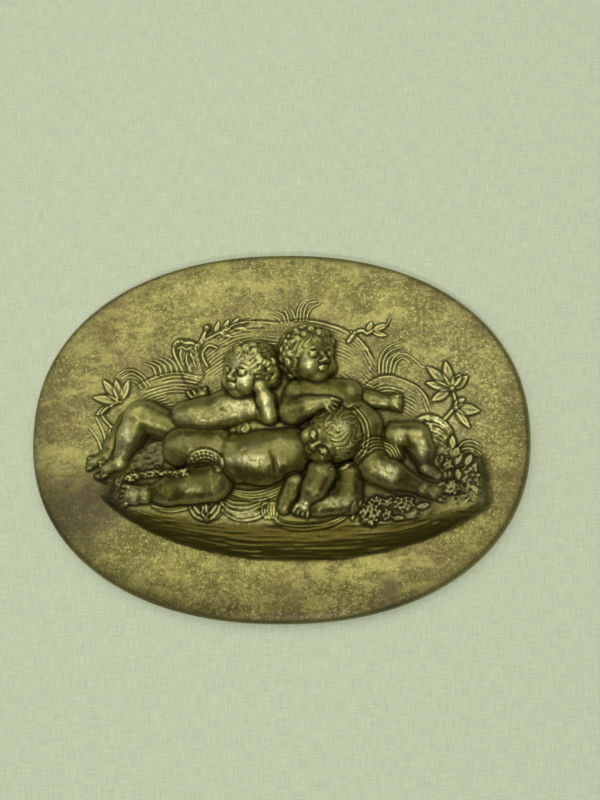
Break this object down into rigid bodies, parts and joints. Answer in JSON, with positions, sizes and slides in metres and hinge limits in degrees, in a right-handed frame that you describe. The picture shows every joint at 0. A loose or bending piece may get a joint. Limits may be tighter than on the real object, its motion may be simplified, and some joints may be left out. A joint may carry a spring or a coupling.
{
  "type": "relief wall plaque",
  "caption": "Oval brass wall plaque in high relief: reclining putti in a landscape, turned-down border, hollow back with a bar and a swinging D-ring hanger.",
  "frame": {"origin": "middle of the oval, on the plane of the turned-down edge that lies on the table or against the wall", "axes": "+X to the right along the long axis of the oval, +Y to the top of the scene, +Z out of the face"},
  "size_m": [0.3, 0.222, 0.0363],
  "materials": {
    "relief_brass": "worn dark olive patina",
    "plain_brass": "dull",
    "steel": "dull",
    "rivet_brass": "dull",
    "ring_brass": "dull"
  },
  "bodies": {
    "plaque": {"relief_shell": "relief_brass", "hanger_boss_left": "plain_brass", "hanger_boss_right": "plain_brass", "hanger_bar": "plain_brass", "hanger_washers": "steel", "hanger_screws": "steel", "ring_saddle": "plain_brass", "saddle_rivets": "rivet_brass"},
    "ring": {"d_ring": "ring_brass"}
  },
  "joints": [
    {"name": "ring_swing", "type": "hinge", "parent": "plaque", "child": "ring", "pos_m": [0, 0.07215, 0.0025], "axis": [1, 0, 0], "range_deg": [-175, 4]}
  ]
}
